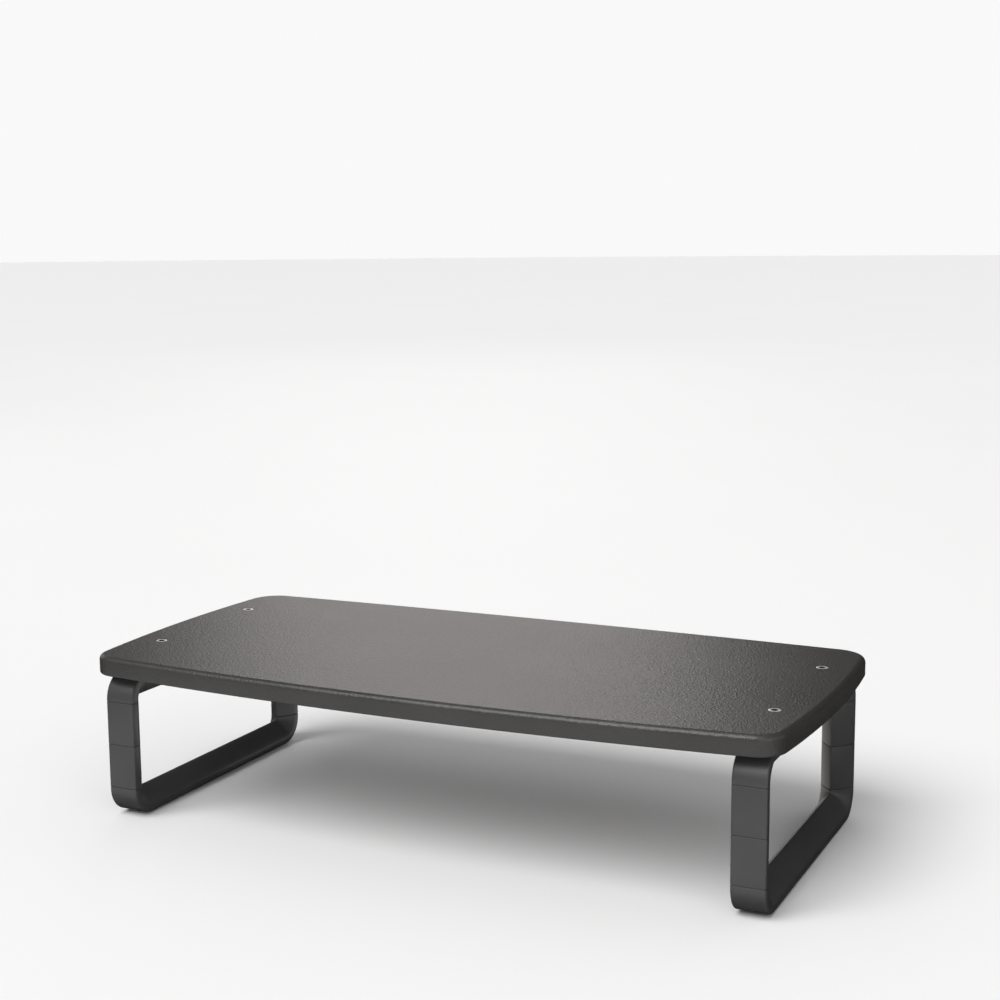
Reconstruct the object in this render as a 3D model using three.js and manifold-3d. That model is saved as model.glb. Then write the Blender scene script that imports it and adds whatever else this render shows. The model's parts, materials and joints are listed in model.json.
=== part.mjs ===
// Monitor riser: a wide board on two closed-loop legs. Each leg is a stack of push-fit column modules
// between a foot frame and a top frame, so the board can stand at three heights.
//
// Millimetres. X runs to the right along the board, Y to the back, Z up. The origin is the middle of the
// board's outline, on the surface that the feet stand on.

import * as THREE from 'three';
import { mergeVertices } from 'three/addons/utils/BufferGeometryUtils.js';
import Module from 'manifold-3d';

// ---------------------------------------------------------------- driving dimensions

const GAP = 0.3; // between pieces that rest on each other or fit in each other

const HEIGHT = 142; // floor to the board's top face
const SPACER_HEIGHT = 37.5; // one tier of columns
const FOOT_HEIGHT = 26.5; // floor to the lowest seam
const PAD_PROUD = 1.5; // foot pads, below the foot frames

const BOARD = {
  thickness: 16.5,
  halfWidth: 297, // to the corners, before their fillets
  front: -131,
  rear: 141,
  frontBow: 16, // how far each edge bulges past its corners
  rearBow: 6,
  sideBow: 8,
  frontFillet: 23,
  rearFillet: 28,
  topRound: 4.6,
  bottomRound: 2,
};

const LEG = {
  centreX: 275,
  front: -125, // outer faces of the columns
  rear: 135,
  cornerRadius: 23, // of the loop's outer face
  ridgeShift: -1.5, // of the ridge from the middle of the section, towards the other leg
  flankPower: 1.25, // of the flanks' curve, where 1 is straight and 2 an ellipse
};

// Sections of a leg, by their half width and by depths from the leg's flat outer face: their own flat
// face, the end of their straight sides, and their ridge. Their flat faces have shoulders of a radius.
const SECTIONS = {
  leg: { half: 13.5, face: 0, side: 6, ridge: 22, shoulder: 1.4 },
  spigot: { half: 9, face: 4.6, side: 6.6, ridge: 17.6, shoulder: 1 },
  socket: { half: 9.36, face: 4.3, side: 6.6, ridge: 18.14, shoulder: 1 },
  bore: { half: 6.8, face: 6.4, side: 7.4, ridge: 14.6, shoulder: 0.6 },
  core: { half: 10, face: -1.4, side: 5, ridge: 17, shoulder: 1 },
};
const SPIGOT_HEIGHT = 11;
const SPACER_DECK = 4; // solid top under a spacer's spigot

const PAD = { width: 18, length: 34, recess: 1.4, fromFront: 25 };

const BOLT = {
  fromCentre: 68, // either side of the middle of the leg
  headRadius: 5,
  headRim: 0.4,
  shankRadius: 2.5,
  length: 28,
  hexAcrossFlats: 4,
  hexDepth: 3,
  below: 0.15, // head, below the board's top face
};
const INSERT = { radius: 3.8, length: 11 };

const CORE = { from: -60, to: 70, ribs: 2, ribThickness: 3 }; // hollow under a foot beam, along Y

const ROUND_STEPS = 20; // sides of bolts and inserts
const CORNER_STEPS = 7; // steps of a leg corner
const FLANK_STEPS = 7;

// ---------------------------------------------------------------- derived places

const boardUnderside = HEIGHT - BOARD.thickness;
const legMiddleY = (LEG.front + LEG.rear) / 2;
const lowerSeam = FOOT_HEIGHT;
const middleSeam = FOOT_HEIGHT + SPACER_HEIGHT;
const upperSeam = FOOT_HEIGHT + 2 * SPACER_HEIGHT;
const boltPlaces = { front: legMiddleY - BOLT.fromCentre, rear: legMiddleY + BOLT.fromCentre };
const legSides = { left: -LEG.centreX, right: LEG.centreX };

// ---------------------------------------------------------------- finishes

const FINISH = {
  board: { color: 0x3a3a3b, roughness: 0.62, metalness: 0 },
  leg: { color: 0x2f3032, roughness: 0.48, metalness: 0 },
  bolt: { color: 0xb4b4b2, roughness: 0.3, metalness: 1 },
  insert: { color: 0xb08d4c, roughness: 0.35, metalness: 1 },
  rubber: { color: 0x1b1b1b, roughness: 0.9, metalness: 0 },
};

// ---------------------------------------------------------------- solids

const wasm = await Module();
wasm.setup();

// A closed three.js geometry as a solid that can be joined and cut.
function toSolid(geometry) {
  const bare = geometry.clone();
  bare.deleteAttribute('normal');
  bare.deleteAttribute('uv');
  const merged = mergeVertices(bare, 1e-4);
  const mesh = new wasm.Mesh({
    numProp: 3,
    vertProperties: new Float32Array(merged.attributes.position.array),
    triVerts: new Uint32Array(merged.index.array),
  });
  return new wasm.Manifold(mesh);
}

function toGeometry(solid) {
  const mesh = solid.getMesh();
  const geometry = new THREE.BufferGeometry();
  geometry.setAttribute('position', new THREE.BufferAttribute(mesh.vertProperties, 3));
  geometry.setIndex(new THREE.BufferAttribute(mesh.triVerts, 1));
  geometry.computeVertexNormals();
  return geometry;
}

const model = new THREE.Group();

function addPiece(name, geometry, finish, x = 0, y = 0, z = 0) {
  const mesh = new THREE.Mesh(geometry, new THREE.MeshStandardMaterial(FINISH[finish]));
  mesh.name = name;
  mesh.position.set(x, y, z);
  model.add(mesh);
}

function prism(points, low, high) {
  const shape = new THREE.Shape(points);
  const geometry = new THREE.ExtrudeGeometry(shape, { depth: high - low, bevelEnabled: false });
  return geometry.translate(0, 0, low);
}

function arcPoints(centre, radius, from, to, steps) {
  const points = [];
  for (let i = 0; i <= steps; i += 1) {
    const angle = from + ((to - from) * i) / steps;
    points.push(new THREE.Vector2(centre.x + radius * Math.cos(angle), centre.y + radius * Math.sin(angle)));
  }
  return points;
}

// ---------------------------------------------------------------- board

// The circle through two corners that bulges by `bow` to the right of the line from `a` to `b`.
function bowedEdge(a, b, bow) {
  const chord = b.clone().sub(a);
  const half = chord.length() / 2;
  const radius = (half * half + bow * bow) / (2 * bow);
  const inward = new THREE.Vector2(-chord.y, chord.x).normalize();
  const centre = a.clone().add(b).multiplyScalar(0.5).addScaledVector(inward, radius - bow);
  return { centre, radius };
}

// Centre of the fillet that touches two edge circles from inside, next to `corner`.
function filletCentre(one, two, fillet, corner) {
  const r1 = one.radius - fillet;
  const r2 = two.radius - fillet;
  const between = two.centre.clone().sub(one.centre);
  const distance = between.length();
  const along = (r1 * r1 - r2 * r2 + distance * distance) / (2 * distance);
  const across = Math.sqrt(r1 * r1 - along * along);
  between.normalize();
  const foot = one.centre.clone().addScaledVector(between, along);
  const side = new THREE.Vector2(-between.y, between.x).multiplyScalar(across);
  const choices = [foot.clone().add(side), foot.clone().sub(side)];
  return choices.sort((p, q) => p.distanceTo(corner) - q.distanceTo(corner))[0];
}

// The board's plan: four bowed edges with a fillet at each corner, anticlockwise from the front edge.
function boardOutline() {
  const corners = [
    new THREE.Vector2(-BOARD.halfWidth, BOARD.front),
    new THREE.Vector2(BOARD.halfWidth, BOARD.front),
    new THREE.Vector2(BOARD.halfWidth, BOARD.rear),
    new THREE.Vector2(-BOARD.halfWidth, BOARD.rear),
  ];
  const bows = [BOARD.frontBow, BOARD.sideBow, BOARD.rearBow, BOARD.sideBow];
  const steps = [18, 8, 12, 8];
  const edges = corners.map((corner, i) => bowedEdge(corner, corners[(i + 1) % 4], bows[i]));
  const fillets = corners.map((corner, i) => {
    const radius = corner.y < 0 ? BOARD.frontFillet : BOARD.rearFillet;
    return { radius, centre: filletCentre(edges[(i + 3) % 4], edges[i], radius, corner) };
  });
  const angleFrom = (edge, fillet) => fillet.centre.clone().sub(edge.centre).angle();
  const outline = [];
  edges.forEach((edge, i) => {
    const next = edges[(i + 1) % 4];
    const from = angleFrom(edge, fillets[i]);
    const end = fillets[(i + 1) % 4];
    const to = unwrap(angleFrom(edge, end), from);
    const turned = unwrap(angleFrom(next, end), to);
    outline.push(...arcPoints(edge.centre, edge.radius, from, to, steps[i]).slice(0, -1));
    outline.push(...arcPoints(end.centre, end.radius, to, turned, 8).slice(0, -1));
  });
  return outline;
}

function unwrap(angle, after) {
  return angle < after ? angle + 2 * Math.PI : angle;
}

// The plan extruded from `low` to `high` with both rims rounded by `round`.
function roundedSlab(outline, low, high, round, segments) {
  const geometry = new THREE.ExtrudeGeometry(new THREE.Shape(outline), {
    depth: high - low - 2 * round,
    bevelThickness: round,
    bevelSize: round,
    bevelOffset: -round,
    bevelSegments: segments,
  });
  return geometry.translate(0, 0, low + round);
}

// Through hole and countersink for one bolt, with clearance all round.
function boltHole(x, y) {
  const top = HEIGHT + 1;
  const rim = BOLT.headRadius + GAP;
  const shank = BOLT.shankRadius + GAP;
  const coneTop = HEIGHT - BOLT.below - BOLT.headRim;
  const profile = [
    new THREE.Vector2(0, boardUnderside - 1),
    new THREE.Vector2(shank, boardUnderside - 1),
    new THREE.Vector2(shank, coneTop - (rim - shank)),
    new THREE.Vector2(rim, coneTop),
    new THREE.Vector2(rim, top),
    new THREE.Vector2(0, top),
  ];
  return lathed(profile).rotateX(Math.PI / 2).translate(x, y, 0);
}

// A profile of (radius, height) points turned about Y.
function lathed(profile) {
  return new THREE.LatheGeometry(profile, ROUND_STEPS);
}

function buildBoard() {
  const outline = boardOutline();
  const spare = 30; // each slab's far rim lies outside the board and is cut away
  const topRim = roundedSlab(outline, boardUnderside - spare, HEIGHT, BOARD.topRound, 4);
  const bottomRim = roundedSlab(outline, boardUnderside, HEIGHT + spare, BOARD.bottomRound, 2);
  let board = toSolid(topRim).intersect(toSolid(bottomRim));
  for (const x of Object.values(legSides)) {
    for (const y of Object.values(boltPlaces)) {
      board = board.subtract(toSolid(boltHole(x, y)));
    }
  }
  addPiece('top_board', toGeometry(board), 'board');
}

// ---------------------------------------------------------------- leg section

// A section's outline as (across, inwards) points. Both flanks are quarters of a superellipse.
function sectionPoints({ half, face, side, ridge, shoulder }) {
  const flankPoint = (edge, angle) => {
    const across = Math.cos(angle) ** (2 / LEG.flankPower);
    const inwards = Math.sin(angle) ** (2 / LEG.flankPower);
    const x = LEG.ridgeShift + (edge - LEG.ridgeShift) * across;
    return new THREE.Vector2(x, side + (ridge - side) * inwards);
  };
  const right = new THREE.Vector2(half - shoulder, face + shoulder);
  const left = new THREE.Vector2(-half + shoulder, face + shoulder);
  const points = arcPoints(right, shoulder, -Math.PI / 2, 0, 3);
  for (let i = 0; i < FLANK_STEPS; i += 1) {
    points.push(flankPoint(half, (i * Math.PI) / 2 / FLANK_STEPS));
  }
  points.push(new THREE.Vector2(LEG.ridgeShift, ridge));
  for (let i = FLANK_STEPS - 1; i >= 0; i -= 1) {
    points.push(flankPoint(-half, (i * Math.PI) / 2 / FLANK_STEPS));
  }
  points.push(...arcPoints(left, shoulder, Math.PI, 1.5 * Math.PI, 3));
  return points;
}

// A straight piece of column from `low` to `high`, in the leg's own X.
function columnPiece(section, end, low, high) {
  const piece = toSolid(prism(sectionPoints(section), low, high));
  const faced = end === 'rear' ? piece.mirror([0, 1, 0]) : piece;
  return faced.translate([0, LEG[end], 0]);
}

// Adds a hollow spigot that stands on the column end at height `z`.
function withSpigot(solid, end, z) {
  const top = z + SPIGOT_HEIGHT;
  const spigot = columnPiece(SECTIONS.spigot, end, z - SPACER_DECK / 2, top);
  const bore = columnPiece(SECTIONS.bore, end, z - SPACER_DECK / 2, top + 1);
  return solid.add(spigot).subtract(bore);
}

// The left leg is the right leg's mirror image.
function handed(solid, side) {
  return toGeometry(side === 'left' ? solid.mirror([1, 0, 0]) : solid);
}

// ---------------------------------------------------------------- leg frames

// The outer line of a U frame in its own plane: down one column, along the beam, up the other. It is
// stepped by parameter, so that each corner gets its own steps and each straight run only one.
class FrameLine extends THREE.Curve {
  constructor(height) {
    super();
    const radius = LEG.cornerRadius;
    const straight = height - radius;
    const span = LEG.rear - LEG.front;
    const arc = (x, from) => (t) => {
      const angle = from + (t * Math.PI) / 2;
      return [x + radius * Math.cos(angle), radius + radius * Math.sin(angle)];
    };
    this.pieces = [
      { steps: 1, at: (t) => [0, height - t * straight] },
      { steps: CORNER_STEPS, at: arc(radius, Math.PI) },
      { steps: 1, at: (t) => [radius + t * (span - 2 * radius), 0] },
      { steps: CORNER_STEPS, at: arc(span - radius, 1.5 * Math.PI) },
      { steps: 1, at: (t) => [span, radius + t * straight] },
    ];
    this.steps = this.pieces.reduce((sum, piece) => sum + piece.steps, 0);
  }

  getPoint(t, target = new THREE.Vector3()) {
    let step = t * this.steps;
    const last = this.pieces.length - 1;
    const piece = this.pieces.find((candidate, i) => {
      const here = step <= candidate.steps || i === last;
      step -= here ? 0 : candidate.steps;
      return here;
    });
    const [x, y] = piece.at(step / piece.steps);
    return target.set(x, y, 0);
  }

  getUtoTmapping(u) {
    return u;
  }
}

// A U frame `height` tall, standing on z = 0 with its columns up, in the leg's own X.
function frameSweep(height) {
  const line = new FrameLine(height);
  const turnedOutline = sectionPoints(SECTIONS.leg).map((point) => new THREE.Vector2(-point.x, point.y));
  const shape = new THREE.Shape(turnedOutline); // the line's frame points across the leg the other way
  const geometry = new THREE.ExtrudeGeometry(shape, { steps: line.steps, extrudePath: line });
  const upright = new THREE.Matrix4().makeBasis(
    new THREE.Vector3(0, 1, 0),
    new THREE.Vector3(0, 0, 1),
    new THREE.Vector3(1, 0, 0),
  );
  return geometry.applyMatrix4(upright).translate(0, LEG.front, 0);
}

// Foot pad plan: a slot shape, long way along Y, grown by `spare` all round.
function padOutline(spare) {
  const radius = PAD.width / 2 + spare;
  const reach = (PAD.length - PAD.width) / 2;
  return [
    ...arcPoints(new THREE.Vector2(0, reach), radius, 0, Math.PI, 10),
    ...arcPoints(new THREE.Vector2(0, -reach), radius, Math.PI, 2 * Math.PI, 10),
  ];
}

const padPlaces = {
  front: LEG.front + PAD.fromFront + PAD.length / 2,
  rear: LEG.rear - PAD.fromFront - PAD.length / 2,
};

// The hollow under the foot beam, in equal bays between cross ribs.
function beamCores() {
  const bays = CORE.ribs + 1;
  const length = (CORE.to - CORE.from - CORE.ribs * CORE.ribThickness) / bays;
  const points = sectionPoints(SECTIONS.core);
  const cores = [];
  for (let i = 0; i < bays; i += 1) {
    const start = CORE.from + i * (length + CORE.ribThickness);
    const core = prism(points, 0, length).rotateX(Math.PI / 2);
    cores.push(toSolid(core.translate(0, start + length, PAD_PROUD)));
  }
  return cores;
}

function bottomFrame() {
  const top = lowerSeam - GAP / 2;
  let frame = toSolid(frameSweep(top - PAD_PROUD).translate(0, 0, PAD_PROUD));
  for (const end of ['front', 'rear']) {
    frame = withSpigot(frame, end, top);
    const recess = prism(padOutline(GAP), PAD_PROUD - 1, PAD_PROUD + PAD.recess + GAP);
    frame = frame.subtract(toSolid(recess.translate(0, padPlaces[end], 0)));
  }
  for (const core of beamCores()) {
    frame = frame.subtract(core);
  }
  return frame;
}

function topFrame() {
  const low = upperSeam + GAP / 2;
  const high = boardUnderside - GAP;
  const turned = frameSweep(high - low).rotateX(Math.PI).translate(0, 2 * legMiddleY, high);
  let frame = toSolid(turned);
  for (const end of ['front', 'rear']) {
    frame = frame.subtract(columnPiece(SECTIONS.socket, end, low - 1, low + SPIGOT_HEIGHT + GAP));
    const depth = INSERT.length + 3;
    const hole = new THREE.CylinderGeometry(INSERT.radius + GAP, INSERT.radius + GAP, depth + 1, ROUND_STEPS);
    hole.rotateX(Math.PI / 2).translate(0, boltPlaces[end], high + 1 - (depth + 1) / 2);
    frame = frame.subtract(toSolid(hole));
  }
  return frame;
}

// A column module between two seams: thin-walled and open below, with a spigot on its deck.
function spacer(end, low, high) {
  const top = high - GAP / 2;
  const bottom = low + GAP / 2;
  const body = columnPiece(SECTIONS.leg, end, bottom, top);
  const core = columnPiece(SECTIONS.socket, end, bottom - 1, top - SPACER_DECK);
  return withSpigot(body.subtract(core), end, top);
}

// ---------------------------------------------------------------- small pieces

function bolt() {
  const top = HEIGHT - BOLT.below;
  const coneTop = top - BOLT.headRim;
  const bottom = top - BOLT.length;
  const point = 0.5; // chamfer at the tip
  const profile = [
    new THREE.Vector2(0, bottom),
    new THREE.Vector2(BOLT.shankRadius - point, bottom),
    new THREE.Vector2(BOLT.shankRadius, bottom + point),
    new THREE.Vector2(BOLT.shankRadius, coneTop - (BOLT.headRadius - BOLT.shankRadius)),
    new THREE.Vector2(BOLT.headRadius, coneTop),
    new THREE.Vector2(BOLT.headRadius, top),
    new THREE.Vector2(0, top),
  ];
  const hexRadius = BOLT.hexAcrossFlats / Math.sqrt(3);
  const hex = new THREE.CylinderGeometry(hexRadius, hexRadius, 2 * BOLT.hexDepth, 6);
  const body = toSolid(lathed(profile).rotateX(Math.PI / 2));
  return toGeometry(body.subtract(toSolid(hex.rotateX(Math.PI / 2).translate(0, 0, top))));
}

// Threaded bush in the top frame, drawn as a plain ring.
function insert() {
  const high = boardUnderside - 2 * GAP;
  const bore = BOLT.shankRadius + GAP;
  const profile = [
    new THREE.Vector2(bore, high - INSERT.length),
    new THREE.Vector2(INSERT.radius, high - INSERT.length),
    new THREE.Vector2(INSERT.radius, high),
    new THREE.Vector2(bore, high),
    new THREE.Vector2(bore, high - INSERT.length),
  ];
  return lathed(profile).rotateX(Math.PI / 2);
}

// ---------------------------------------------------------------- assembly

buildBoard();

for (const [side, x] of Object.entries(legSides)) {
  addPiece(`${side}_top_frame`, handed(topFrame(), side), 'leg', x);
  addPiece(`${side}_foot_frame`, handed(bottomFrame(), side), 'leg', x);
  for (const end of ['front', 'rear']) {
    const upper = spacer(end, middleSeam, upperSeam);
    const lower = spacer(end, lowerSeam, middleSeam);
    addPiece(`${side}_${end}_upper_spacer`, handed(upper, side), 'leg', x);
    addPiece(`${side}_${end}_lower_spacer`, handed(lower, side), 'leg', x);
    addPiece(`${side}_${end}_bolt`, bolt(), 'bolt', x, boltPlaces[end]);
    addPiece(`${side}_${end}_insert`, insert(), 'insert', x, boltPlaces[end]);
    const pad = prism(padOutline(0), 0, PAD_PROUD + PAD.recess);
    addPiece(`${side}_${end}_foot_pad`, pad, 'rubber', x, padPlaces[end]);
  }
}

export default model;
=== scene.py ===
"""The finished look of the monitor riser: a textured board on two stacking legs, built around its CAD frame.

Metres, in the CAD's own frame: X to the right, Y to the back, Z up. Every piece is a fine mesh that stands
for the CAD node of the same name and rides on that node's body.
"""

import json
import math

import bmesh
import bpy
from mathutils import Matrix, Vector

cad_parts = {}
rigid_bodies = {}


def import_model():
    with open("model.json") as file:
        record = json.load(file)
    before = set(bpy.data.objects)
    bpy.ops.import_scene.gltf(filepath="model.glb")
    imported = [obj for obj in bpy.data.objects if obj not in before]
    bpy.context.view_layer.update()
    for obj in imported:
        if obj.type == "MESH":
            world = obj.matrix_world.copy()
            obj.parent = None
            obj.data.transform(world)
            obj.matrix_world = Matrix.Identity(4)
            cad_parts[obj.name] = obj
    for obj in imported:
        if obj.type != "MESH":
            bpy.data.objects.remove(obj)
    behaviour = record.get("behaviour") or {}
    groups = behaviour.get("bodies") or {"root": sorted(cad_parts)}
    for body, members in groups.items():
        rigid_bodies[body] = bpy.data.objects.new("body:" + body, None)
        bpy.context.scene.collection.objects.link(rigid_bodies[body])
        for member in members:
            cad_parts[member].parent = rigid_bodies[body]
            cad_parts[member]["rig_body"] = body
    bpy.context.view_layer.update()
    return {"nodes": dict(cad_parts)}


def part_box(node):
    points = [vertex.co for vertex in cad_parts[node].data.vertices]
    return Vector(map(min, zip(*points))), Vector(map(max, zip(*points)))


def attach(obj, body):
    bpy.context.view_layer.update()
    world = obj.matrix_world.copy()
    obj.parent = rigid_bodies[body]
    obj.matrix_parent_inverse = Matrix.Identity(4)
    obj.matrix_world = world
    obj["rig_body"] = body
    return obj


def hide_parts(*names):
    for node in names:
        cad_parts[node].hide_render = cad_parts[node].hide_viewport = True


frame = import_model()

MM = 0.001
FIT = 0.3 * MM  # between pieces that rest on each other or fit in each other

# ---------------------------------------------------------------- the frame's own sizes

board_low, board_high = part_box("top_board")
foot_low, foot_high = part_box("right_foot_frame")
top_low, top_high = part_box("right_top_frame")
bolt_low, bolt_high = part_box("right_front_bolt")
lower_spacer_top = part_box("right_front_lower_spacer")[1].z
upper_spacer_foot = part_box("right_front_upper_spacer")[0].z

BOARD_TOP = board_high.z
LEG_FRONT = foot_low.y
LEG_REAR = foot_high.y
SPIGOT_HEIGHT = lower_spacer_top - upper_spacer_foot + FIT  # a spigot's top over its seam's lower face
BOLT_HEAD = (bolt_high.x - bolt_low.x) / 2
BOLT_SHANK = BOLT_HEAD / 2

# ---------------------------------------------------------------- shapes the boxes don't hold

BOARD_CORNER_X = 297 * MM  # corners of the plan, before the edges bow out and the fillets go in
BOARD_CORNER_FRONT = -131 * MM
BOARD_CORNER_REAR = 141 * MM
FRONT_FILLET = 23 * MM
REAR_FILLET = 28 * MM
TOP_ROUND = 4.6 * MM
BOTTOM_ROUND = 2 * MM

# A leg's sections in mm: half width, then depths from the flat outer face of the section's own flat face,
# the end of its straight sides and its ridge, and the radius of its shoulders.
SECTIONS = {
    "leg": (13.5, 0.0, 6.0, 22.0, 1.4),
    "spigot": (9.0, 4.6, 6.6, 17.6, 1.0),
    "socket": (9.36, 4.3, 6.6, 18.14, 1.0),
    "bore": (6.8, 6.4, 7.4, 14.6, 0.6),
    "core": (10.0, -1.4, 5.0, 17.0, 1.0),
}
RIDGE_SHIFT = -1.5 * MM  # of the ridge from the middle of the section, towards the other leg
FLANK_POWER = 1.25  # of the flanks' curve, where 1 is straight and 2 an ellipse
CORNER_RADIUS = 23 * MM  # of a leg's outer face
DECK = 4 * MM  # from a spacer's top face down to its core
SEAM_ROUND = 0.35 * MM  # rim of a module's end faces

CORE_FROM, CORE_TO = -60 * MM, 70 * MM  # moulding cores under a foot beam, along Y
CORE_RIB = 3 * MM
CORE_BAYS = 3

THREAD_PITCH = 0.8 * MM
THREAD_DEPTH = 0.4 * MM
THREAD_LENGTH = 16 * MM
KEY_FLATS = 4 * MM  # of the bolts' hexagonal sockets

STEPS = {"long edge": 48, "short edge": 24, "fillet": 20, "flank": 24, "shoulder": 6, "leg corner": 18}
CREASE = math.radians(38)  # faces that meet at more than this are shaded with an edge


# ---------------------------------------------------------------- mesh helpers

def new_piece(mesh, node, slot):
    """A finished mesh that stands for one CAD node and rides on that node's body."""
    mesh.materials.clear()
    mesh.materials.append(material(slot))
    mark_sharp(mesh)
    piece = bpy.data.objects.new(f"{node}_finished", mesh)
    bpy.context.scene.collection.objects.link(piece)
    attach(piece, frame["nodes"][node]["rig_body"])
    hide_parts(node)
    return piece


def mark_sharp(mesh):
    """Smooth shading with a crease wherever two faces meet at a wide enough angle."""
    bm = bmesh.new()
    bm.from_mesh(mesh)
    for face in bm.faces:
        face.smooth = True
    for edge in bm.edges:
        edge.smooth = edge.calc_face_angle(0.0) < CREASE
    bm.to_mesh(mesh)
    bm.free()


def skin(bm, rings):
    """Rings of equally many points, joined into a sheet; gives back the rings' vertices."""
    made = [[bm.verts.new(point) for point in ring] for ring in rings]
    count = len(rings[0])
    for one, two in zip(made, made[1:]):
        join(bm, one, two, count)
    return made


def join(bm, one, two, count):
    for i in range(count):
        j = (i + 1) % count
        bm.faces.new((one[i], one[j], two[j], two[i]))


def loft(name, rings, closed=False):
    """Skins rings of equally many points. An open loft gets a flat cap at both ends."""
    mesh = bpy.data.meshes.new(name)
    bm = bmesh.new()
    made = skin(bm, rings)
    if closed:
        join(bm, made[-1], made[0], len(rings[0]))
    else:
        bm.faces.new(list(reversed(made[0])))
        bm.faces.new(made[-1])
    bmesh.ops.recalc_face_normals(bm, faces=bm.faces)
    bm.to_mesh(mesh)
    bm.free()
    return mesh


def cut(mesh, cutters):
    """`mesh` with each cutter mesh taken out of it."""
    body = bpy.data.objects.new("cut_body", mesh)
    bpy.context.scene.collection.objects.link(body)
    tools = []
    for i, cutter in enumerate(cutters):
        tool = bpy.data.objects.new(f"cut_tool_{i}", cutter)
        bpy.context.scene.collection.objects.link(tool)
        modifier = body.modifiers.new(f"cut_{i}", "BOOLEAN")
        modifier.operation = "DIFFERENCE"
        modifier.solver = "EXACT"
        modifier.object = tool
        tools.append(tool)
    bpy.context.view_layer.update()
    graph = bpy.context.evaluated_depsgraph_get()
    result = bpy.data.meshes.new_from_object(body.evaluated_get(graph))
    result.name = mesh.name
    for done in [body, *tools]:
        bpy.data.objects.remove(done)
    return result


def arc(centre, radius, start, end, steps):
    """Points on a circle in a plane, both ends included."""
    angles = [start + (end - start) * i / steps for i in range(steps + 1)]
    return [Vector((centre[0] + radius * math.cos(a), centre[1] + radius * math.sin(a))) for a in angles]


def rounding(steps):
    """1 - cos and 1 - sin through a quarter turn: how far a rounding has come in, and has still to climb."""
    angles = [math.pi / 2 * i / steps for i in range(steps + 1)]
    return [(1 - math.cos(a), 1 - math.sin(a)) for a in angles]


def round_ring(place, z, sides, radius_at):
    """A level ring about a vertical axis, whose radius depends on the angle."""
    angles = [2 * math.pi * i / sides for i in range(sides)]
    radii = [radius_at(a) for a in angles]
    return [(place.x + r * math.cos(a), place.y + r * math.sin(a), z) for a, r in zip(angles, radii)]


def turned(name, profile, place, sides):
    """A solid of revolution about a vertical axis, from (radius, height) points off the axis."""
    return loft(name, [round_ring(place, z, sides, lambda a, r=radius: r) for radius, z in profile])


def middle(node):
    low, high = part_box(node)
    return (low + high) / 2


def legs_and_ends():
    return [(side, end) for side in ("left", "right") for end in ("front", "rear")]


# ---------------------------------------------------------------- board

def bowed_edge(a, b, bow):
    """Centre and radius of the circle through a and b that bulges by `bow` to the right of a to b."""
    half = (b - a).length / 2
    radius = (half * half + bow * bow) / (2 * bow)
    inward = Vector((-(b - a).y, (b - a).x)).normalized()
    return (a + b) / 2 + inward * (radius - bow), radius


def fillet_centre(one, two, fillet, corner):
    """Centre of the fillet that touches two edge circles from inside, next to `corner`."""
    r1, r2 = one[1] - fillet, two[1] - fillet
    between = two[0] - one[0]
    distance = between.length
    along = (r1 * r1 - r2 * r2 + distance * distance) / (2 * distance)
    across = math.sqrt(r1 * r1 - along * along)
    between.normalize()
    side = Vector((-between.y, between.x)) * across
    foot = one[0] + between * along
    return min((foot + side, foot - side), key=lambda p: (p - corner).length)


def heading(vector, after=None):
    """The vector's angle, from 0 to a full turn, or past `after` where that is given."""
    angle = math.atan2(vector.y, vector.x) % (2 * math.pi)
    if after is not None and angle < after:
        angle += 2 * math.pi
    return angle


def board_plan():
    """The board's edge circles and fillets, anticlockwise from the front edge."""
    corners = [
        Vector((-BOARD_CORNER_X, BOARD_CORNER_FRONT)),
        Vector((BOARD_CORNER_X, BOARD_CORNER_FRONT)),
        Vector((BOARD_CORNER_X, BOARD_CORNER_REAR)),
        Vector((-BOARD_CORNER_X, BOARD_CORNER_REAR)),
    ]
    side_bow = board_high.x - BOARD_CORNER_X
    bows = [BOARD_CORNER_FRONT - board_low.y, side_bow, board_high.y - BOARD_CORNER_REAR, side_bow]
    edges = [bowed_edge(corners[i], corners[(i + 1) % 4], bows[i]) for i in range(4)]
    fillets = []
    for i, corner in enumerate(corners):
        radius = FRONT_FILLET if corner.y < 0 else REAR_FILLET
        fillets.append((fillet_centre(edges[i - 1], edges[i], radius, corner), radius))
    return edges, fillets


def board_outline(plan, inset):
    """The board's outline, moved inwards by `inset`; every inset gives as many points."""
    edges, fillets = plan
    outline = []
    for i in range(4):
        centre, radius = edges[i]
        end, end_radius = fillets[(i + 1) % 4]
        start = heading(fillets[i][0] - centre)
        stop = heading(end - centre, start)
        leave = heading(end - edges[(i + 1) % 4][0], stop)
        steps = STEPS["long edge"] if i % 2 == 0 else STEPS["short edge"]
        outline += arc(centre, radius - inset, start, stop, steps)[:-1]
        outline += arc(end, end_radius - inset, stop, leave, STEPS["fillet"])[:-1]
    return outline


def build_board():
    support = 0.5 * MM  # a flat ring inside each rim keeps the faces' shading flat
    levels = [(BOTTOM_ROUND + support, board_low.z)]
    for come_in, climb in rounding(8):
        levels.append((BOTTOM_ROUND * climb, board_low.z + BOTTOM_ROUND * come_in))
    for come_in, climb in rounding(14):
        levels.append((TOP_ROUND * come_in, BOARD_TOP - TOP_ROUND * climb))
    levels.append((TOP_ROUND + support, BOARD_TOP))
    plan = board_plan()
    rings = [[(p.x, p.y, z) for p in board_outline(plan, inset)] for inset, z in levels]
    mesh = cut(loft("top_board", rings), [bolt_hole(side, end) for side, end in legs_and_ends()])
    new_piece(mesh, "top_board", "board_lacquer")


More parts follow.
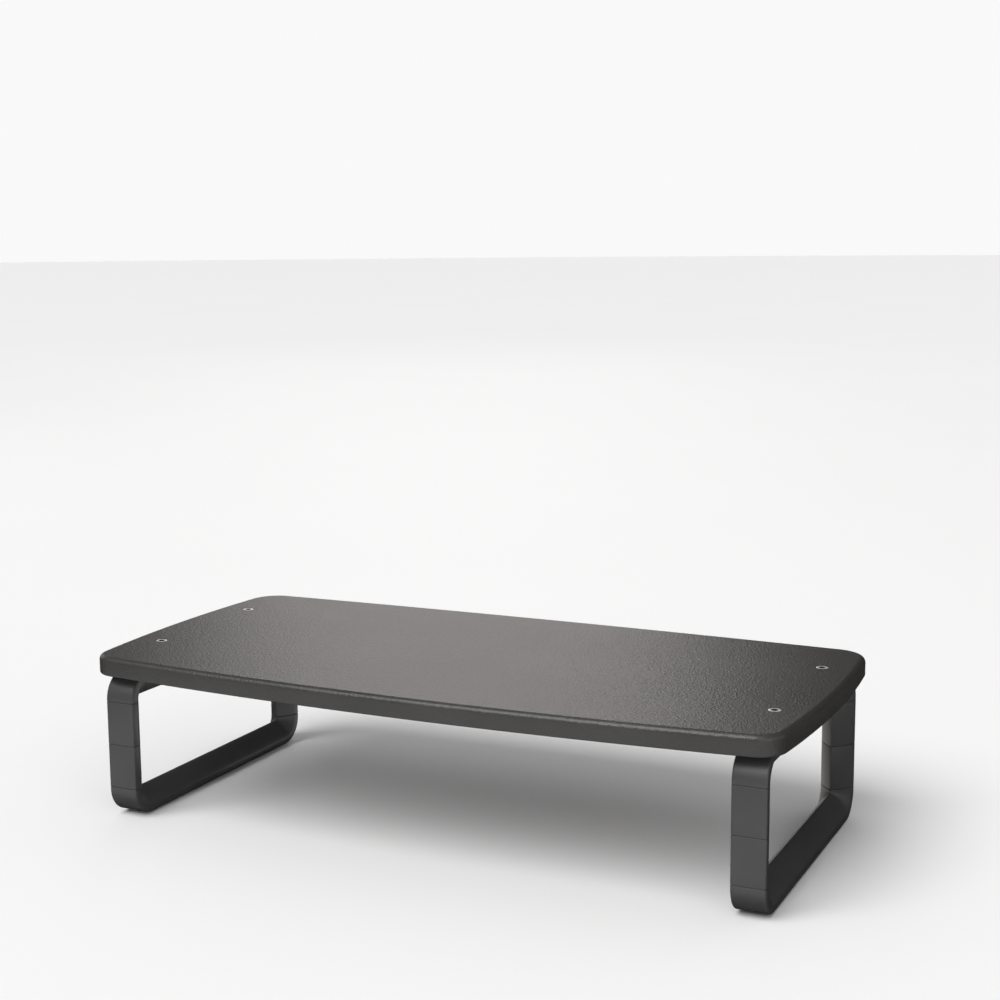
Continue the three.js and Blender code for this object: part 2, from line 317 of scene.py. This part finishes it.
def bolt_hole(side, end):
    """Cutter for a through hole with its countersink and a shallow counterbore round the head."""
    head = BOLT_HEAD + FIT
    shank = head / 2
    chamfer = 0.25 * MM
    cone_top = BOARD_TOP - 0.5 * MM
    profile = [
        (shank, board_low.z - 1 * MM),
        (shank, cone_top - (head - shank)),
        (head, cone_top),
        (head, BOARD_TOP - 0.12 * MM),
        (head + chamfer, BOARD_TOP + 0.13 * MM),
        (head + chamfer, BOARD_TOP + 1 * MM),
    ]
    return turned("bolt_hole", profile, middle(f"{side}_{end}_bolt"), 64)


# ---------------------------------------------------------------- legs

def section(kind="leg", shrink=0.0):
    """A leg section's (across, inwards) outline: a flat face, and two flanks that meet in a ridge."""
    half, face, side, ridge, shoulder = (value * MM for value in SECTIONS[kind])
    half -= shrink
    face += shrink
    ridge -= 1.5 * shrink
    steps = STEPS["flank"]
    points = arc((half - shoulder, face + shoulder), shoulder, -math.pi / 2, 0, STEPS["shoulder"])
    for edge, order in ((half, range(steps)), (-half, range(steps - 1, -1, -1))):
        for i in order:
            a = math.pi / 2 * i / steps
            across = RIDGE_SHIFT + (edge - RIDGE_SHIFT) * math.cos(a) ** (2 / FLANK_POWER)
            inwards = side + (ridge - side) * math.sin(a) ** (2 / FLANK_POWER)
            points.append(Vector((across, inwards)))
        if edge > 0:
            points.append(Vector((RIDGE_SHIFT, ridge)))
    points += arc((-half + shoulder, face + shoulder), shoulder, math.pi, 1.5 * math.pi, STEPS["shoulder"])
    return points


def hand(side):
    """The left leg is the right leg's mirror image."""
    return -1 if side == "left" else 1


def column_rings(side, end, levels):
    """Level rings of the front or rear column, from (section, shrink, height) rows."""
    x = middle(f"{side}_foot_frame").x
    face, inwards = (LEG_FRONT, 1) if end == "front" else (LEG_REAR, -1)
    rings = []
    for kind, shrink, z in levels:
        rings.append([(x + hand(side) * u, face + inwards * v, z) for u, v in section(kind, shrink)])
    return rings


def rim_levels(seam, way):
    """The rounded rim of a module's end face, from its side to the face. way is 1 for an upper end."""
    return [("leg", SEAM_ROUND * come_in, seam - way * SEAM_ROUND * climb) for come_in, climb in rounding(4)]


def spigot_levels(seam):
    """Up a spigot from its fillet, over its snap groove and its lip, and down its bore."""
    top = seam + SPIGOT_HEIGHT
    return [
        ("spigot", -0.5 * MM, seam),
        ("spigot", -0.15 * MM, seam + 0.12 * MM),
        ("spigot", 0.0, seam + 0.5 * MM),
        ("spigot", 0.0, seam + 3.6 * MM),
        ("spigot", -0.15 * MM, seam + 4.0 * MM),
        ("spigot", -0.15 * MM, seam + 4.6 * MM),
        ("spigot", 0.0, seam + 5.0 * MM),
        ("spigot", 0.0, top - 1.2 * MM),
        ("spigot", 0.35 * MM, top - 0.2 * MM),
        ("spigot", 0.6 * MM, top),
        ("bore", -0.3 * MM, top),
        ("bore", 0.0, top - 0.4 * MM),
        ("bore", 0.0, seam - DECK / 2),
    ]


def socket_levels(seam, depth):
    """From a socket's mouth up to its floor."""
    return [
        ("socket", -0.5 * MM, seam),
        ("socket", 0.0, seam + 0.6 * MM),
        ("socket", 0.0, seam + depth),
    ]


def build_spacer(side, end, tier):
    node = f"{side}_{end}_{tier}_spacer"
    low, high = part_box(node)
    top = high.z - SPIGOT_HEIGHT
    levels = list(reversed(socket_levels(low.z, top - DECK - low.z)))
    levels += list(reversed(rim_levels(low.z, -1)))
    levels += rim_levels(top, 1)
    levels += spigot_levels(top)
    new_piece(loft(node, column_rings(side, end, levels)), node, "leg_plastic")


def corner_rings(side, beam, way):
    """Rings round both corners of a U frame, from its front column to its rear one.

    `beam` is the height of the beam's flat outer face, and way is 1 where the columns stand up from it.
    """
    x = middle(f"{side}_foot_frame").x
    steps = STEPS["leg corner"]
    rings = []
    for centre, start in ((LEG_FRONT + CORNER_RADIUS, math.pi), (LEG_REAR - CORNER_RADIUS, 1.5 * math.pi)):
        for i in range(steps + 1):
            a = start + math.pi / 2 * i / steps
            out_y, out_z = math.cos(a), way * math.sin(a)
            ring = []
            for u, v in section():
                reach = CORNER_RADIUS - v
                z = beam + way * CORNER_RADIUS + reach * out_z
                ring.append((x + hand(side) * u, centre + reach * out_y, z))
            rings.append(ring)
    return rings


def build_frame(side, name, beam, way, ends, cutters):
    """A U frame whose columns both end in the given levels."""
    node = f"{side}_{name}"
    rings = list(reversed(column_rings(side, "front", ends)))
    rings += corner_rings(side, beam, way)
    rings += column_rings(side, "rear", ends)
    new_piece(cut(loft(node, rings), cutters), node, "leg_plastic")


def build_foot_frame(side):
    seam = foot_high.z - SPIGOT_HEIGHT
    ends = rim_levels(seam, 1) + spigot_levels(seam)
    cutters = [pad_recess(side, end) for end in ("front", "rear")] + beam_bays(side)
    build_frame(side, "foot_frame", foot_low.z, 1, ends, cutters)


def build_top_frame(side):
    ends = rim_levels(top_low.z, -1) + socket_levels(top_low.z, SPIGOT_HEIGHT + FIT)
    cutters = [insert_hole(side, end) for end in ("front", "rear")]
    build_frame(side, "top_frame", top_high.z, -1, ends, cutters)


def slot_ring(node, grow, z):
    """A foot pad's outline, grown by `grow`, at height z."""
    low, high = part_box(node)
    x, y = (low.x + high.x) / 2, (low.y + high.y) / 2
    radius = (high.x - low.x) / 2
    reach = (high.y - low.y) / 2 - radius
    points = arc((x, y + reach), radius + grow, 0, math.pi, 24)
    points += arc((x, y - reach), radius + grow, math.pi, 2 * math.pi, 24)
    return [(p.x, p.y, z) for p in points]


def pad_recess(side, end):
    node = f"{side}_{end}_foot_pad"
    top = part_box(node)[1].z + FIT
    return loft("pad_recess", [slot_ring(node, FIT, foot_low.z - 1 * MM), slot_ring(node, FIT, top)])


def beam_bays(side):
    """Cutters for the moulding cores under a foot beam, between cross ribs."""
    x = middle(f"{side}_foot_frame").x
    length = (CORE_TO - CORE_FROM - (CORE_BAYS - 1) * CORE_RIB) / CORE_BAYS
    cutters = []
    for i in range(CORE_BAYS):
        low = CORE_FROM + i * (length + CORE_RIB)
        rings = []
        for y in (low, low + length):
            rings.append([(x + hand(side) * u, y, foot_low.z + v) for u, v in section("core")])
        cutters.append(loft("beam_bay", rings))
    return cutters


def insert_hole(side, end):
    node = f"{side}_{end}_insert"
    low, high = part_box(node)
    radius = (high.x - low.x) / 2 + FIT
    return turned("insert_hole", [(radius, low.z - 3 * MM), (radius, high.z + 3 * MM)], middle(node), 48)


# ---------------------------------------------------------------- small pieces

def thread_rows(low):
    """(radius, height, bite) rows up a threaded shank; the bite is how deep the thread cuts there."""
    per_turn = 8
    lead_in = 4
    rows = [(BOLT_SHANK - 0.5 * MM, low, 0.0)]
    for i in range(1, int(THREAD_LENGTH / THREAD_PITCH * per_turn)):
        bite = THREAD_DEPTH if i > lead_in else THREAD_DEPTH / 2
        rows.append((BOLT_SHANK, low + i * THREAD_PITCH / per_turn, bite))
    rows.append((BOLT_SHANK, low + THREAD_LENGTH, 0.0))
    return rows


def build_bolt(side, end):
    """Countersunk socket bolt with a helical thread below its cone."""
    node = f"{side}_{end}_bolt"
    low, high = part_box(node)
    place = middle(node)
    cone_top = high.z - 0.4 * MM
    rows = thread_rows(low.z) + [
        (BOLT_SHANK, cone_top - (BOLT_HEAD - BOLT_SHANK), 0.0),
        (BOLT_HEAD - 0.12 * MM, cone_top - 0.12 * MM, 0.0),
        (BOLT_HEAD, cone_top + 0.02 * MM, 0.0),
        (BOLT_HEAD, high.z - 0.18 * MM, 0.0),
        (BOLT_HEAD - 0.06 * MM, high.z - 0.05 * MM, 0.0),
        (BOLT_HEAD - 0.2 * MM, high.z, 0.0),
    ]

    def threaded(radius, z, bite):
        def radius_at(a):
            phase = (z / THREAD_PITCH - a / (2 * math.pi)) % 1.0
            return radius - bite * abs(2 * phase - 1)
        return radius_at

    rings = [round_ring(place, z, 48, threaded(radius, z, bite)) for radius, z, bite in rows]
    key_radius = KEY_FLATS / math.sqrt(3)
    mesh = cut(loft(node, rings), [key_socket(place, key_radius, high.z)])
    new_piece(mesh, node, "bolt_steel")
    # The faces inside the key socket get a dark grey material: painted shade in the socket's hollow.
    mesh.materials.append(material("socket_painted_shade"))
    for face in mesh.polygons:
        off = math.hypot(face.center.x - place.x, face.center.y - place.y)
        if off < key_radius * 1.2 and high.z - 4 * MM < face.center.z < high.z - 0.05 * MM:
            face.material_index = 1


def key_socket(place, radius, top):
    """Cutter for a hexagonal key socket with a chamfered round mouth."""
    mouth = radius * 1.16

    def blended(hexagonal, size):
        def radius_at(a):
            local = (a % (math.pi / 3)) - math.pi / 6
            hexagon = radius * math.cos(math.pi / 6) / math.cos(local)
            return size * (hexagonal * hexagon + (1 - hexagonal) * mouth)
        return radius_at

    rings = []
    for z, hexagonal, size in (
        (top - 3.1 * MM, 1.0, 0.2),
        (top - 2.7 * MM, 1.0, 1.0),
        (top - 0.35 * MM, 1.0, 1.0),
        (top, 0.0, 1.0),
        (top + 1 * MM, 0.0, 1.0),
    ):
        rings.append(round_ring(place, z, 36, blended(hexagonal, size)))
    return loft("key_socket", rings)


def build_insert(side, end):
    """Threaded bush with a diamond knurl and a groove round its middle."""
    node = f"{side}_{end}_insert"
    low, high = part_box(node)
    outer = (high.x - low.x) / 2
    bore = BOLT_SHANK + FIT
    height = high.z - low.z
    rim, chamfer = 0.5 * MM, 0.35 * MM
    margin = 0.8 * MM  # plain, at both ends of the knurl
    rows = 28

    def plain(radius):
        return lambda a: radius

    def knurled(z):
        lean = (z - low.z) / height * 6
        grooved = 0.42 < (z - low.z) / height < 0.58

        def radius_at(a):
            cross = max(abs(math.sin(12 * a + lean)), abs(math.sin(12 * a - lean)))
            return outer - (0.5 * MM if grooved else 0.22 * MM * (1 - cross ** 3))
        return radius_at

    heights = [low.z + margin + (height - 2 * margin) * i / rows for i in range(rows + 1)]
    profile = [(plain(bore), low.z), (plain(outer - rim), low.z), (plain(outer - chamfer), low.z + 0.3 * MM)]
    profile += [(knurled(z), z) for z in heights]
    profile += [(plain(outer - chamfer), high.z - 0.3 * MM), (plain(outer - rim), high.z)]
    profile += [(plain(bore), high.z)]
    rings = [round_ring(middle(node), z, 96, radius_at) for radius_at, z in profile]
    new_piece(loft(node, rings, closed=True), node, "insert_brass")


def build_pad(side, end):
    """Rubber foot pad with a rounded rim and two shallow grooves round its tread."""
    node = f"{side}_{end}_foot_pad"
    low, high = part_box(node)
    rim = 0.7 * MM
    groove = 0.3 * MM  # depth
    levels = [(0.0, high.z)]
    levels += [(-rim * come_in, low.z + rim * climb) for come_in, climb in rounding(6)]
    for start in (1.9 * MM, 4.5 * MM):
        for inset, lift in ((0.0, 0.0), (0.2 * MM, groove), (1.0 * MM, groove), (1.2 * MM, 0.0)):
            levels.append((-start - inset, low.z + lift))
    rings = [slot_ring(node, grow, z) for grow, z in reversed(levels)]
    new_piece(loft(node, rings), node, "foot_rubber")


# ---------------------------------------------------------------- materials

class Finish:
    """A material under construction, on object coordinates in metres."""

    def __init__(self, name):
        self.material = bpy.data.materials.new(name)
        self.material.use_nodes = True
        self.nodes = self.material.node_tree.nodes
        self.links = self.material.node_tree.links
        self.shader = self.nodes["Principled BSDF"]

    def put(self, **values):
        """Even values, straight on the shader; Base_Color names the socket Base Color."""
        for name, value in values.items():
            self.shader.inputs[name.replace("_", " ")].default_value = value

    def texture(self, kind, scale, **values):
        place = self.nodes.new("ShaderNodeTexCoord")
        made = self.nodes.new(kind)
        self.links.new(place.outputs["Object"], made.inputs["Vector"])
        made.inputs["Scale"].default_value = scale
        for name, value in values.items():
            made.inputs[name].default_value = value
        return made

    def noise(self, scale, detail):
        return self.texture("ShaderNodeTexNoise", scale, Detail=detail).outputs["Fac"]

    def paint(self, source, dark, light, start=0.0, stop=1.0):
        """Base colour from dark to light while source goes from start to stop."""
        made = self.nodes.new("ShaderNodeValToRGB")
        low, high = made.color_ramp.elements
        low.position, high.position = start, stop
        low.color, high.color = (*dark, 1), (*light, 1)
        self.links.new(source, made.inputs["Fac"])
        self.links.new(made.outputs["Color"], self.shader.inputs["Base Color"])

    def roughen(self, source, low, high):
        """Roughness from low to high while source goes from 0 to 1."""
        made = self.nodes.new("ShaderNodeMapRange")
        made.inputs["To Min"].default_value = low
        made.inputs["To Max"].default_value = high
        self.links.new(source, made.inputs["Value"])
        self.links.new(made.outputs["Result"], self.shader.inputs["Roughness"])

    def bump(self, height, strength, distance):
        """Relief, on top of the relief so far."""
        made = self.nodes.new("ShaderNodeBump")
        made.inputs["Strength"].default_value = strength
        made.inputs["Distance"].default_value = distance
        self.links.new(height, made.inputs["Height"])
        normal = self.shader.inputs["Normal"]
        if normal.is_linked:
            self.links.new(normal.links[0].from_socket, made.inputs["Normal"])
        self.links.new(made.outputs["Normal"], normal)


def board_lacquer(finish):
    """Charcoal textured lacquer: fine pebbles with a soft sheen."""
    finish.paint(finish.noise(9.0, 3.0), (0.036, 0.0350, 0.0338), (0.046, 0.0447, 0.0433), 0.3, 0.7)
    pebble = finish.texture("ShaderNodeTexVoronoi", 620.0, Randomness=1.0)
    pebble.feature = "SMOOTH_F1"
    grain = finish.noise(1100.0, 3.0)
    finish.roughen(grain, 0.24, 0.46)
    finish.bump(grain, 0.55, 0.14 * MM)
    finish.bump(pebble.outputs["Distance"], 0.7, 0.30 * MM)


def leg_plastic(finish):
    """Charcoal moulded plastic with a fine spark-eroded grain."""
    finish.paint(finish.noise(22.0, 3.0), (0.046, 0.0455, 0.0455), (0.053, 0.0525, 0.0525), 0.3, 0.7)
    grain = finish.noise(3200.0, 2.0)
    finish.roughen(grain, 0.36, 0.48)
    finish.bump(grain, 0.25, 0.05 * MM)


def bolt_steel(finish):
    """Bright plated steel, a little dulled."""
    finish.put(Metallic=0.65)
    tone = finish.noise(900.0, 3.0)
    finish.paint(tone, (0.60, 0.60, 0.59), (0.76, 0.76, 0.75))
    finish.roughen(tone, 0.30, 0.46)
    finish.bump(tone, 0.2, 0.03 * MM)


def socket_painted_shade(finish):
    """The bolts' key sockets: rough metal in a dark grey that is painted shade for the hollow."""
    finish.put(Metallic=0.8)
    tone = finish.noise(900.0, 3.0)
    finish.paint(tone, (0.02, 0.02, 0.02), (0.04, 0.04, 0.04))
    finish.roughen(tone, 0.5, 0.7)


def insert_brass(finish):
    """Plain machined brass."""
    finish.put(Metallic=1.0)
    tone = finish.noise(700.0, 3.0)
    finish.paint(tone, (0.52, 0.34, 0.12), (0.66, 0.46, 0.2))
    finish.roughen(tone, 0.25, 0.42)


def foot_rubber(finish):
    """Matt black rubber."""
    finish.paint(finish.noise(60.0, 4.0), (0.012, 0.012, 0.012), (0.02, 0.02, 0.02))
    grain = finish.noise(2200.0, 2.0)
    finish.roughen(grain, 0.75, 0.92)
    finish.bump(grain, 0.4, 0.05 * MM)


def floor(finish):
    """Pale matt studio floor."""
    finish.put(Roughness=0.7)
    finish.paint(finish.noise(1.5, 2.0), (0.91, 0.91, 0.91), (0.93, 0.93, 0.93))


def backdrop(finish):
    """An evenly lit pale wall, far behind."""
    finish.put(Base_Color=(0.0, 0.0, 0.0, 1.0), Specular_IOR_Level=0.0)
    finish.put(Emission_Color=(1.0, 1.0, 1.0, 1.0), Emission_Strength=0.95)


FINISHES = {
    "board_lacquer": board_lacquer,
    "leg_plastic": leg_plastic,
    "bolt_steel": bolt_steel,
    "socket_painted_shade": socket_painted_shade,
    "insert_brass": insert_brass,
    "foot_rubber": foot_rubber,
    "floor": floor,
    "backdrop": backdrop,
}
materials = {}


def material(name):
    """The material of that name, made the first time it is asked for."""
    if name not in materials:
        finish = Finish(name)
        FINISHES[name](finish)
        materials[name] = finish.material
    return materials[name]


# ---------------------------------------------------------------- studio

LENS = 62.0
SENSOR = 36.0
CAMERA_PLACE = (0.6169, -1.2625, 0.4931)
YAW, PITCH, ROLL = math.radians(25.21), math.radians(8.91), math.radians(-0.44)

SET_RADIUS = 30.0
CARD_HEIGHT = 3 * MM  # of the reflection cards that lie on the floor
NEUTRAL = (1.0, 1.0, 1.0)
WARM = (1.0, 0.955, 0.935)


def add_camera():
    """The photograph's view: 25 degrees round to the right, looking 9 degrees down, 62 mm lens."""
    data = bpy.data.cameras.new("camera")
    data.sensor_width = SENSOR
    data.lens = LENS
    forward = Vector((-math.sin(YAW) * math.cos(PITCH), math.cos(YAW) * math.cos(PITCH), -math.sin(PITCH)))
    right = Vector((math.cos(YAW), math.sin(YAW), 0.0))
    up = right.cross(forward)
    x_axis = math.cos(ROLL) * right + math.sin(ROLL) * up
    y_axis = -math.sin(ROLL) * right + math.cos(ROLL) * up
    turn = Matrix((x_axis, y_axis, -forward)).transposed()
    camera = bpy.data.objects.new("camera", data)
    camera.matrix_world = Matrix.Translation(CAMERA_PLACE) @ turn.to_4x4()
    bpy.context.scene.collection.objects.link(camera)
    bpy.context.scene.camera = camera


def add_light(name, kind, place, way, energy, tint):
    """A light at `place` that shines along `way`."""
    data = bpy.data.lights.new(name, kind)
    data.energy = energy
    data.color = tint
    light = bpy.data.objects.new(name, data)
    light.matrix_world = Matrix.Translation(place) @ Vector(way).to_track_quat("-Z", "Y").to_matrix().to_4x4()
    bpy.context.scene.collection.objects.link(light)
    return light


def add_panel(name, place, way, size, radiance, tint=NEUTRAL):
    """A soft panel that only glossy surfaces see: a studio card that shapes the reflections."""
    panel = add_light(name, "AREA", place, way, radiance * math.pi * size[0] * size[1], tint)
    panel.data.shape = "RECTANGLE"
    panel.data.size, panel.data.size_y = size
    panel.visible_camera = False
    panel.visible_diffuse = False


def add_floor_card(name, x, y, size, radiance, tint=NEUTRAL):
    """A panel that lies on the floor and faces up, for what the floor adds to the reflections."""
    add_panel(name, (x, y, CARD_HEIGHT), (0, 0, 1), size, radiance, tint)


def add_sun(name, way, strength, angle, tint=NEUTRAL):
    """A distant soft light, even over the whole floor."""
    add_light(name, "SUN", (0, 0, 0), way, strength, tint).data.angle = math.radians(angle)


def circle(radius, z):
    angles = [2 * math.pi * i / 96 for i in range(96)]
    return [(radius * math.cos(a), radius * math.sin(a), z) for a in angles]


def add_stage_piece(name, rings, capped):
    """A part of the set: rings of points joined into one open sheet, with its first ring filled if capped."""
    mesh = bpy.data.meshes.new(name)
    bm = bmesh.new()
    made = skin(bm, rings)
    if capped:
        bm.faces.new(made[0])
    bmesh.ops.recalc_face_normals(bm, faces=bm.faces)
    bm.to_mesh(mesh)
    bm.free()
    mesh.materials.append(material(name))
    piece = bpy.data.objects.new(name, mesh)
    piece.visible_glossy = False
    bpy.context.scene.collection.objects.link(piece)
    return piece


def add_studio():
    """A pale floor and backdrop under even light, with panels and cards for the reflections."""
    world = bpy.data.worlds.new("studio")
    bpy.context.scene.world = world
    world.use_nodes = True
    sky = world.node_tree.nodes["Background"].inputs
    sky["Color"].default_value = (1.0, 1.0, 1.0, 1.0)
    sky["Strength"].default_value = 0.42
    world.cycles_visibility.glossy = False
    bpy.context.scene.view_settings.view_transform = "Standard"

    add_stage_piece("floor", [circle(r, 0.0) for r in (0.5, 2.0, 8.0, SET_RADIUS)], True)
    wall = add_stage_piece("backdrop", [circle(SET_RADIUS, 0.0), circle(SET_RADIUS, 12.0)], False)
    wall.visible_diffuse = False
    wall.visible_shadow = False

    add_sun("front_key", (0.22, 0.62, -0.78), 2.35, 45.0)
    add_sun("right_fill", (-0.72, 0.60, -0.36), 0.60, 50.0, WARM)
    add_panel("back_panel", (-2.70, 5.33, 2.55), (0.44, -0.87, -0.40), (2.3, 2.7), 1.85, WARM)
    add_floor_card("front_card", 0.12, -0.72, (1.40, 1.15), 0.62)
    add_floor_card("rear_card", -0.005, 0.60, (0.49, 1.15), 0.95, WARM)
    add_floor_card("right_card", 0.70, 0.80, (0.6, 0.8), 0.09, WARM)
    add_panel("side_panel", (3.5, 0.5, 1.2), (-1, 0, -0.25), (3.0, 2.0), 0.42, WARM)
    add_panel("left_panel", (-3.0, 1.3, 1.0), (1, -0.4, -0.2), (2.0, 1.6), 0.8)
    add_panel("top_panel", (0.0, 0.0, 3.5), (0, 0, -1), (3.0, 3.0), 0.45)


# ---------------------------------------------------------------- assembly

add_camera()
add_studio()
build_board()
for leg in ("left", "right"):
    build_foot_frame(leg)
    build_top_frame(leg)
for leg, end in legs_and_ends():
    build_spacer(leg, end, "lower")
    build_spacer(leg, end, "upper")
    build_bolt(leg, end)
    build_insert(leg, end)
    build_pad(leg, end)
